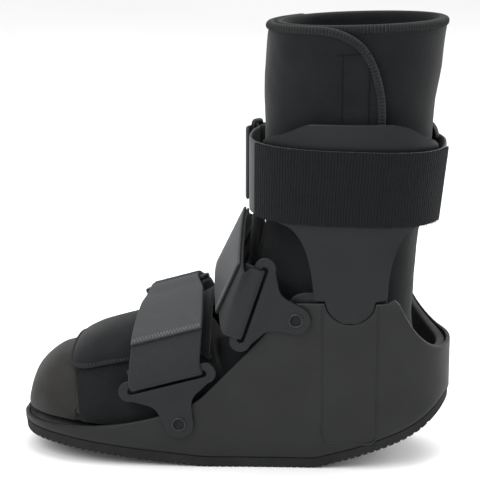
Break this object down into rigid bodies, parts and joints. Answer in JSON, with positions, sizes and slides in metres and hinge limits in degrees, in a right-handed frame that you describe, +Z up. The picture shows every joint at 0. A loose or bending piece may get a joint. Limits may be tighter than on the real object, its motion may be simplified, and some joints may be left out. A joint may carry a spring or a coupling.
{
  "type": "medical walking boot",
  "caption": "Low rigid walking boot with a rocker sole, strapped shell, calf uprights and a padded open liner for a lower leg.",
  "frame": {"origin": "bottom centre of the overall box, on the ground under the sole", "axes": "+X from the toe towards the heel, +Y towards the far side of the picture, +Z up"},
  "size_m": [0.298, 0.1233, 0.304],
  "materials": {
    "moulded": "matte charcoal, fine moulded grain",
    "rubber": "dull black tread rubber",
    "foam": "grey closed-cell foam",
    "liner": "black brushed loop laminate",
    "toe_cloth": "charcoal toe cloth",
    "webbing": "charcoal woven strap",
    "pile": "black hook and loop pile",
    "rivet": "dark coated rivet"
  },
  "bodies": {
    "root": {"outsole": "rubber", "shell": "moulded", "footbed": "foam", "heel_pad": "foam", "liner_boot": "liner", "toe_cap": "toe_cloth", "forefoot_flap": "liner", "tongue": "liner", "cuff_flap": "liner", "upright_left": "moulded", "upright_right": "moulded", "forefoot_plate_left": "moulded", "forefoot_plate_right": "moulded", "forefoot_rivet_left": "rivet", "forefoot_rivet_right": "rivet", "forefoot_strap": "webbing", "forefoot_anchor": "webbing", "forefoot_ring": "moulded", "instep_plate_left": "moulded", "instep_plate_right": "moulded", "instep_rivet_left": "rivet", "instep_rivet_right": "rivet", "instep_strap": "webbing", "instep_anchor": "webbing", "instep_ring": "moulded", "calf_strap": "webbing", "calf_ring": "moulded", "calf_band": "pile"}
  },
  "joints": []
}
